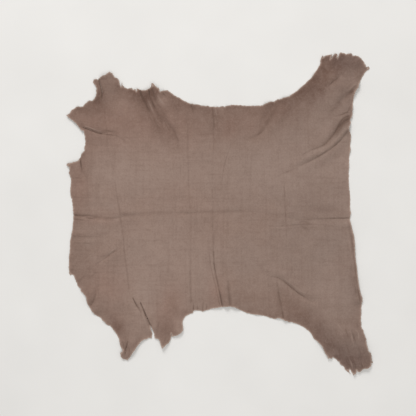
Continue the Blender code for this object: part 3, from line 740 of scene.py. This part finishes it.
def sideways(line):
    """Unit vectors to the left of a polyline, one at each of its points."""
    along = np.gradient(line, axis=0)
    along /= np.linalg.norm(along, axis=1)[:, None]
    return np.stack((-along[:, 1], along[:, 0]), axis=1)


def route_line(route):
    """A route as a smooth polyline."""
    points = [np.array(point, dtype=float) for point in route]
    return np.array([*smooth_through(points), points[-1]])


class Waves:
    """A sum of waves of random directions and phases, between two wavelengths."""

    def __init__(self, rng, shortest, longest, height=1.0):
        length = np.exp(rng.uniform(math.log(shortest), math.log(longest), WAVE_COUNT))
        turn = rng.uniform(0.0, 2.0 * math.pi, WAVE_COUNT)
        self.numbers = 2.0 * math.pi / length * np.stack((np.cos(turn), np.sin(turn)))
        self.phases = rng.uniform(0.0, 2.0 * math.pi, WAVE_COUNT)
        self.height = height

    def at(self, points):
        """The waves' sum at each point: about height, up and down."""
        total = np.sin(points @ self.numbers + self.phases).sum(axis=1)
        return self.height * (total / math.sqrt(WAVE_COUNT / 2.0))


def edge_loop(rng):
    """The closed cut edge: smooth between its corners, and a little ragged as a knife leaves it."""
    rows = [(EdgePoint(*row), stretch.ragged) for stretch in OUTLINE.values() for row in stretch.points]
    rows.append(rows[0])
    loop = []
    wander = []
    run = []
    for row, ragged in rows:
        run.append(np.array((row.x, row.y), dtype=float))
        if row.turn == C and len(run) > 1:
            points = at_even_steps([*smooth_through(run), run[-1]], EDGE_STEP)[:-1]
            loop.extend(points)
            wander.extend([ragged] * len(points))
            run = run[-1:]
    loop = np.array(loop)
    shift = Waves(rng, *RAGGED_WAVES).at(loop) * np.array(wander)
    return loop + sideways(loop) * shift[:, None]


def nearest_on_line(points, line):
    """For each point: distance to the line, share of the line's length there, and if it is left of it."""
    starts = line[:-1]
    steps = np.diff(line, axis=0)
    lengths = np.linalg.norm(steps, axis=1)
    along = np.concatenate(([0.0], np.cumsum(lengths)))
    from_start = points[:, None, :] - starts[None, :, :]
    share = np.clip((from_start * steps).sum(axis=2) / lengths**2, 0.0, 1.0)
    offset = from_start - share[:, :, None] * steps
    distances = np.linalg.norm(offset, axis=2)
    nearest = distances.argmin(axis=1)
    row = np.arange(len(points))
    here = (along[nearest] + share[row, nearest] * lengths[nearest]) / along[-1]
    side = steps[nearest, 0] * offset[row, nearest, 1] - steps[nearest, 1] * offset[row, nearest, 0]
    return distances[row, nearest], here, side > 0


def along_route(points, form, reach, start, middle, end):
    """Where a form with a route has an effect: the numbers of the points that may lie within reach.

    For each of them it also gives the distance from the route, the value there, from its values at
    the start, middle and end of the route, and whether the point is left of the route.
    """
    line = route_line(form.route)
    low, high = line.min(axis=0) - reach, line.max(axis=0) + reach
    near = np.flatnonzero(((points > low) & (points < high)).all(axis=1))
    distance, here, on_left = nearest_on_line(points[near], line)
    return near, distance, np.interp(here, ALONG_ROUTE, (start, middle, end)), on_left


def folds_at(points):
    """Height of the folds and swells, before the sheet's lower parts settle on the surface."""
    height = np.zeros(len(points))
    for fold in FOLDS.values():
        rises = fold.rise_start, fold.rise_middle, fold.rise_end
        near, distance, rise, on_left = along_route(points, fold, FOLD_REACH * fold.bank, *rises)
        reach = (distance / fold.bank) ** fold.roundness
        side = np.where(on_left, 1.0, fold.right_share)
        height[near] += rise * side * reach * np.exp(1.0 - reach)
    for swell in SWELLS.values():
        rises = swell.rise_start, swell.rise_middle, swell.rise_end
        near, distance, rise, _ = along_route(points, swell, SWELL_REACH * swell.spread, *rises)
        height[near] += rise * np.exp(-((distance / swell.spread) ** 2))
    return height


def creases_at(points, rng):
    """For each point, how far the creases lift or lower it, and their painted shade there (painted light if
    raised).
    """
    lift = np.zeros(len(points))
    crease_shade = np.zeros(len(points))
    breaks = Waves(rng, *CREASE_BREAKS).at(points)
    broken = np.clip(CREASE_STRENGTH + CREASE_SWING * breaks, *CREASE_LIMITS)
    for crease in CREASES:
        depths = crease.depth_start, crease.depth_middle, crease.depth_end
        near, distance, depth, _ = along_route(points, crease, CREASE_REACH * crease.half_width, *depths)
        reach = (distance / crease.half_width) ** 2
        lift[near] += depth * (CREASE_LIPS * reach - 1.0) * np.exp(-reach)
        crease_shade[near] += depth * np.exp(-CREASE_COLOUR * reach)
    return lift * broken, crease_shade * broken


def patches_at(points, table):
    """The sum of the soft ovals of a colour table."""
    total = np.zeros(len(points))
    for patch in (Patch(*row) for row in table):
        turn = math.radians(patch.angle)
        x = points[:, 0] - patch.x
        y = points[:, 1] - patch.y
        along = (x * math.cos(turn) + y * math.sin(turn)) / patch.half_length
        across = (y * math.cos(turn) - x * math.sin(turn)) / patch.half_width
        total += patch.strength * np.exp(-(along**2 + across**2))
    return total


def inside(points, loop):
    """Which points lie inside the closed loop."""
    ends = np.roll(loop, -1, axis=0)
    rise = np.where(ends[:, 1] == loop[:, 1], 1.0, ends[:, 1] - loop[:, 1])
    slope = (ends[:, 0] - loop[:, 0]) / rise
    found = []
    for part in np.array_split(points, max(1, len(points) // POINTS_AT_ONCE)):
        x, y = part[:, None, 0], part[:, None, 1]
        spans = (loop[:, 1] > y) != (ends[:, 1] > y)
        crossing = loop[:, 0] + (y - loop[:, 1]) * slope
        found.append((spans & (x < crossing)).sum(axis=1) % 2 == 1)
    return np.concatenate(found)


class Scatter:
    """The sheet's points, each one added only where it is clear of those before it."""

    def __init__(self, loop):
        self.loop = loop
        self.points = []
        self.cells = {}
        for x, y in loop:
            self.put(x, y)

    def cell(self, x, y):
        """The grid cell that a place is in."""
        return math.floor(x / CELL), math.floor(y / CELL)

    def put(self, x, y):
        """Add a point."""
        self.cells.setdefault(self.cell(x, y), []).append((x, y))
        self.points.append((x, y))

    def clear(self, x, y, clearance):
        """Whether no point is nearer than clearance, which is at most a cell's side."""
        column, row = self.cell(x, y)
        limit = clearance * clearance
        for i in (column - 1, column, column + 1):
            for j in (row - 1, row, row + 1):
                for a, b in self.cells.get((i, j), ()):
                    if (a - x) ** 2 + (b - y) ** 2 < limit:
                        return False
        return True

    def add(self, line, clearance):
        """Add the line's points that are inside and clear, and return the edges that join neighbours."""
        edges = []
        last = None
        for (x, y), is_inside in zip(line.tolist(), inside(line, self.loop)):
            if is_inside and self.clear(x, y, clearance):
                self.put(x, y)
                if last is not None:
                    edges.append((last, len(self.points) - 1))
                last = len(self.points) - 1
            else:
                last = None
        return edges


def sheet_points(loop):
    """The sheet's points and crease edges: first the cut edge, then creases, folds and a triangular grid."""
    scatter = Scatter(loop)
    creased = []
    for share in CREASE_LINES:
        for crease in CREASES:
            line = at_even_steps(route_line(crease.route), CREASE_STEP)
            edges = scatter.add(line + share * crease.half_width * sideways(line), LINE_CLEARANCE)
            if share == 0.0:
                creased.extend(edges)
    for share in FOLD_LINES:
        for fold in FOLDS.values():
            line = at_even_steps(route_line(fold.route), FOLD_STEP)
            scatter.add(line + share * fold.bank * sideways(line), GRID_CLEARANCE)
    low, high = loop.min(axis=0), loop.max(axis=0)
    rows = np.arange(low[1], high[1], GRID_STEP * math.sqrt(3.0) / 2.0)
    for row, y in enumerate(rows):
        x = np.arange(low[0] + (row % 2) * GRID_STEP / 2.0, high[0], GRID_STEP)
        scatter.add(np.stack((x, np.full(len(x), y)), axis=1), GRID_CLEARANCE)
    return scatter.points, creased


def edge_distance(points, loop):
    """Distance of each point from the cut edge."""
    tree = kdtree.KDTree(len(loop))
    for number, (x, y) in enumerate(loop):
        tree.insert((x, y, 0.0), number)
    tree.balance()
    return np.array([tree.find((x, y, 0.0))[2] for x, y in points])


def settled(height):
    """Height over the surface, where what is lower than LIE_FLAT_BELOW lies on it with a soft foot."""
    above = (height - LIE_FLAT_BELOW) / SOFT_LANDING
    return SOFT_LANDING * np.logaddexp(0.0, above)


def hide_mesh():
    """The hide's underside as one open surface, with what its material reads at each point."""
    rng = np.random.default_rng(SEED)
    loop = edge_loop(rng)
    points, creased = sheet_points(loop)
    places = [Vector(point) for point in points]
    outline = list(range(len(loop)))
    result = delaunay_2d_cdt(places, creased, [outline], TRIANGLES_INSIDE, SAME_POINT)
    flat = np.array([tuple(point) for point in result[0]])
    distance = edge_distance(flat, loop)
    from_middle = np.linalg.norm(flat, axis=1)
    shank = np.clip((from_middle - SHANK_START) / (SHANK_END - SHANK_START), 0.0, 1.0)
    lively = 1.0 + SHANK_WAVES * shank
    waves = sum(Waves(rng, *row).at(flat) for row in SHEET_WAVES)
    flutter = Waves(rng, *EDGE_WAVES).at(flat) * np.exp(-distance / EDGE_WAVE_REACH)
    lift, crease_shade = creases_at(flat, rng)
    z = settled(folds_at(flat)) + LEVEL + lively * (waves + flutter) + lift
    z = LOWEST + settled(z + LIE_FLAT_BELOW - LOWEST)
    mesh = bpy.data.meshes.new(NAME)
    mesh.from_pydata((np.column_stack((flat, z)) * MM).tolist(), [], [list(face) for face in result[2]])
    # Blush tints pink or grey. Shade is partly the hide's own tone and partly painted shade and light.
    # Crease is painted shade along the creases and painted light along raised lines.
    readings = {
        "edge": distance,
        "crease": crease_shade,
        "blush": patches_at(flat, BLUSH),
        "shade": patches_at(flat, SHADE) + patches_at(flat, MARGIN) * np.exp(-distance / MARGIN_REACH),
    }
    for name, values in readings.items():
        layer = mesh.attributes.new(name, "FLOAT", "POINT")
        layer.data.foreach_set("value", values.astype(np.float32))
    return mesh


class Finish:
    """A material with a Principled shader, and short calls that build its procedural surface."""

    def __init__(self, name):
        self.material = bpy.data.materials.new(name)
        self.material.use_nodes = True
        self.tree = self.material.node_tree
        self.place = self.node("TexCoord", "Object")

    def feed(self, node, values):
        """Link each input to another node's output, or set it. A tuple is a colour, without its alpha."""
        for name, value in values.items():
            socket = node.inputs[name]
            if isinstance(value, bpy.types.NodeSocket):
                self.tree.links.new(value, socket)
            else:
                socket.default_value = (*value, 1.0) if isinstance(value, tuple) else value

    def node(self, kind, output, values=None, **settings):
        """Add a node with its settings and inputs, and return one of its outputs."""
        node = self.tree.nodes.new("ShaderNode" + kind)
        for name, value in settings.items():
            setattr(node, name, value)
        self.feed(node, values or {})
        return node.outputs[output]

    def noise(self, size, detail, stretch=EVEN):
        """Noise from 0 to 1 with lumps of about size millimetres, drawn out by stretch."""
        scale = [1.0 / (size * MM * axis) for axis in stretch]
        place = self.node("Mapping", "Vector", {"Vector": self.place, "Scale": scale})
        values = {"Vector": place, "Scale": 1.0, "Detail": detail, "Roughness": NOISE_ROUGHNESS}
        return self.node("TexNoise", "Fac", values)

    def cells(self, size):
        """Distance to the nearest of random points about size millimetres apart."""
        return self.node("TexVoronoi", "Distance", {"Vector": self.place, "Scale": 1.0 / (size * MM)})

    def reading(self, name):
        """A value that the mesh carries at each point."""
        return self.node("Attribute", "Fac", attribute_name=name)

    def spanned(self, value, span):
        """The value, moved from the span's range to what it becomes there, and held within it."""
        names = ("Value", "From Min", "From Max", "To Min", "To Max")
        return self.node("MapRange", "Result", dict(zip(names, (value, *span))))

    def lumps(self, row):
        """Noise that becomes what its row says."""
        return self.spanned(self.noise(row.size, row.detail), row.span)

    def sums(self, operation, first, second):
        """A sum, product or other operation on two values."""
        return self.node("Math", "Value", {0: first, 1: second}, operation=operation)

    def mixed(self, share, first, second):
        """The first colour, turned into the second by share."""
        values = {"Factor": share, MIX_FIRST: first, MIX_SECOND: second}
        return self.node("Mix", MIX_RESULT, values, data_type="RGBA")

    def tinted(self, colour, layers):
        """The colour under layers of noise, each with its own tint."""
        for layer in layers:
            lumps = self.noise(layer.size, layer.detail, layer.stretch)
            share = self.spanned(lumps, Span(layer.none_at, layer.full_at, 0.0, layer.share))
            colour = self.mixed(share, colour, layer.colour)
        return colour

    def raised(self, height, depth, under=None):
        """A normal that lets height, from 0 to 1, stand up by depth millimetres on the one under it."""
        values = {"Height": height, "Distance": depth * MM}
        if under is not None:
            values["Normal"] = under
        return self.node("Bump", "Normal", values)

    def relief(self, layers, under=None):
        """A normal with layers of fine relief on the one under them."""
        for layer in layers:
            under = self.raised(self.noise(layer.size, layer.detail), layer.depth, under)
        return under

    def finish(self, colour, roughness, normal, coat):
        """Set the shader: what varies is linked, and what is even is a plain value on its own socket."""
        values = {
            "Base Color": colour,
            "Roughness": roughness,
            "Normal": normal,
            "Sheen Weight": coat.sheen,
            "Sheen Roughness": SHEEN_ROUGHNESS,
            "Sheen Tint": coat.sheen_tint,
            "Specular IOR Level": coat.specular,
        }
        self.feed(self.tree.nodes["Principled BSDF"], values)
        return self.material


def napped_side():
    """The side that shows: soft brown-grey leather with a short nap, its tone partly painted shade and
    light, painted shade in its creases, and pinker and paler at its cut edge.
    """
    skin = Finish("napped_leather")
    blush, shade, crease, edge = map(skin.reading, ("blush", "shade", "crease", "edge"))
    pores = skin.cells(PORE_SPACING)
    colour = skin.mixed(skin.lumps(WARMTH), TAUPE, WARM_TAUPE)
    colour = skin.tinted(colour, CLOUDS)
    blushed = skin.sums("MULTIPLY", skin.spanned(blush, BLUSHED), skin.lumps(BLUSH_PATCHES))
    colour = skin.mixed(blushed, colour, ROSE)
    greyed = skin.spanned(blush, GREYER)
    colour = skin.mixed(greyed, colour, GREYED)
    # Shade: partly the hide's own darker and paler tone, partly painted shade and painted light
    painted_shade_and_tone = skin.sums("MULTIPLY", skin.spanned(shade, DARKER), skin.lumps(SHADE_BLOTCHES))
    painted_shade_and_tone = skin.sums("MULTIPLY", painted_shade_and_tone, skin.lumps(SHADE_SPOTS))
    colour = skin.mixed(painted_shade_and_tone, colour, skin.mixed(greyed, DEEP, DEEP_GREYED))
    colour = skin.mixed(skin.spanned(shade, PALER), colour, PALE)
    colour = skin.tinted(colour, NAP)
    colour = skin.mixed(skin.spanned(pores, PORE_TINT), colour, DEEP)
    # Creases: painted shade and shadow in their lines, painted light on raised lines
    for depths, tint in CREASE_TINTS:
        colour = skin.mixed(skin.spanned(crease, depths), colour, tint)
    colour = skin.mixed(skin.spanned(edge, EDGE_BLUSH), colour, ROSE)
    rawness = skin.sums("MULTIPLY", skin.spanned(edge, EDGE_RAWNESS), skin.lumps(EDGE_FRAYING))
    colour = skin.mixed(rawness, colour, RAW)
    roughness = skin.sums("ADD", skin.lumps(NAP_ROUGHNESS), skin.spanned(crease, CREASE_SMOOTHING))
    normal = skin.relief(NAP_RELIEF)
    normal = skin.raised(skin.spanned(pores, PORE_RISE), PORE_DEPTH, normal)
    normal = skin.relief(FIBRE_RELIEF, normal)
    return skin.finish(colour, roughness, normal, NAP_COAT)


def flesh_side():
    """The underside: paler, with a longer and rougher nap."""
    skin = Finish("flesh_side")
    colour = skin.tinted(FLESH, FLESH_NAP)
    return skin.finish(colour, skin.lumps(FLESH_ROUGHNESS), skin.relief(FLESH_RELIEF), FLESH_COAT)


def cut_rim():
    """The raw cut edge, mottled pale and brown, with torn fibres."""
    skin = Finish("cut_edge")
    colour = skin.tinted(RAW, RIM_NAP)
    return skin.finish(colour, skin.lumps(RIM_ROUGHNESS), skin.relief(RIM_RELIEF), RIM_COAT)


def dress(mesh):
    """Give the top, the underside and the cut rim of the sheet their own materials."""
    for material in (napped_side(), flesh_side(), cut_rim()):
        mesh.materials.append(material)
    normals = np.empty((len(mesh.polygons), 3))
    mesh.polygons.foreach_get("normal", normals.ravel())
    up = normals[:, 2]
    index = np.select((up > RIM_SLOPE, up < -RIM_SLOPE), (TOP, UNDERSIDE), RIM)
    mesh.polygons.foreach_set("material_index", index.astype(np.int32))
    mesh.shade_smooth()
    mesh.set_sharp_from_angle(angle=math.radians(SHARP_ANGLE))


def make_hide():
    """The sheet: its underside as shaped above, and its full thickness laid on top of it."""
    hide = bpy.data.objects.new(NAME, hide_mesh())
    bpy.context.scene.collection.objects.link(hide)
    sheet = hide.modifiers.new("thickness", "SOLIDIFY")
    sheet.thickness = THICKNESS * MM
    sheet.offset = 1.0
    sheet.use_rim = True
    solid = bpy.data.meshes.new_from_object(hide.evaluated_get(bpy.context.evaluated_depsgraph_get()))
    hide.modifiers.clear()
    hide.data = solid
    dress(solid)
    return hide


def make_floor():
    """A plain pale floor, which isn't part of the object."""
    half = FLOOR_SIDE / 2.0
    mesh = bpy.data.meshes.new("floor")
    corners = [(-half, -half, 0.0), (half, -half, 0.0), (half, half, 0.0), (-half, half, 0.0)]
    mesh.from_pydata(corners, [], [(0, 1, 2, 3)])
    paper = Finish("pale_floor")
    colour = paper.mixed(paper.lumps(FLOOR_CLOUDS), FLOOR_COLOUR, FLOOR_COLOUR_DARK)
    mesh.materials.append(paper.finish(colour, FLOOR_ROUGHNESS, paper.relief(FLOOR_RELIEF), FLOOR_COAT))
    floor = bpy.data.objects.new("floor", mesh)
    bpy.context.scene.collection.objects.link(floor)


def make_light(name, azimuth, elevation, distance, side, power):
    """A soft square light that shines on the middle. Azimuth is clockwise from +Y, seen from above."""
    light = bpy.data.lights.new(name, "AREA")
    light.shape = "SQUARE"
    light.size = side
    light.energy = power
    turn, lift = math.radians(azimuth), math.radians(elevation)
    flat = distance * math.cos(lift)
    place = Vector((flat * math.sin(turn), flat * math.cos(turn), distance * math.sin(lift)))
    lamp = bpy.data.objects.new(name, light)
    lamp.location = place
    lamp.rotation_euler = (-place).to_track_quat("-Z", "Y").to_euler()
    bpy.context.scene.collection.objects.link(lamp)


def make_studio():
    """Plain soft light, and the camera straight above the hide, as in the photograph."""
    for light in LIGHTS:
        make_light(*light)
    world = bpy.data.worlds.new("studio")
    world.use_nodes = True
    world.node_tree.nodes["Background"].inputs["Color"].default_value = (*SKY, 1.0)
    world.node_tree.nodes["Background"].inputs["Strength"].default_value = SKY_STRENGTH
    scene = bpy.context.scene
    scene.world = world
    scene.view_settings.view_transform = "Standard"
    lens = bpy.data.cameras.new("camera")
    lens.lens = LENS
    lens.sensor_width = SENSOR
    lens.dof.use_dof = False
    camera = bpy.data.objects.new("camera", lens)
    middle = PHOTO_SIDE / 2.0
    camera.location = (
        (middle - CENTRE_PIXEL[0]) * MM_PER_PIXEL * MM,
        (CENTRE_PIXEL[1] - middle) * MM_PER_PIXEL * MM,
        PHOTO_SIDE * MM_PER_PIXEL * MM * LENS / SENSOR,
    )
    scene.collection.objects.link(camera)
    scene.camera = camera


def main():
    make_studio()
    make_floor()
    hide = make_hide()
    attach(hide, "root")
    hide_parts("hide")


main()
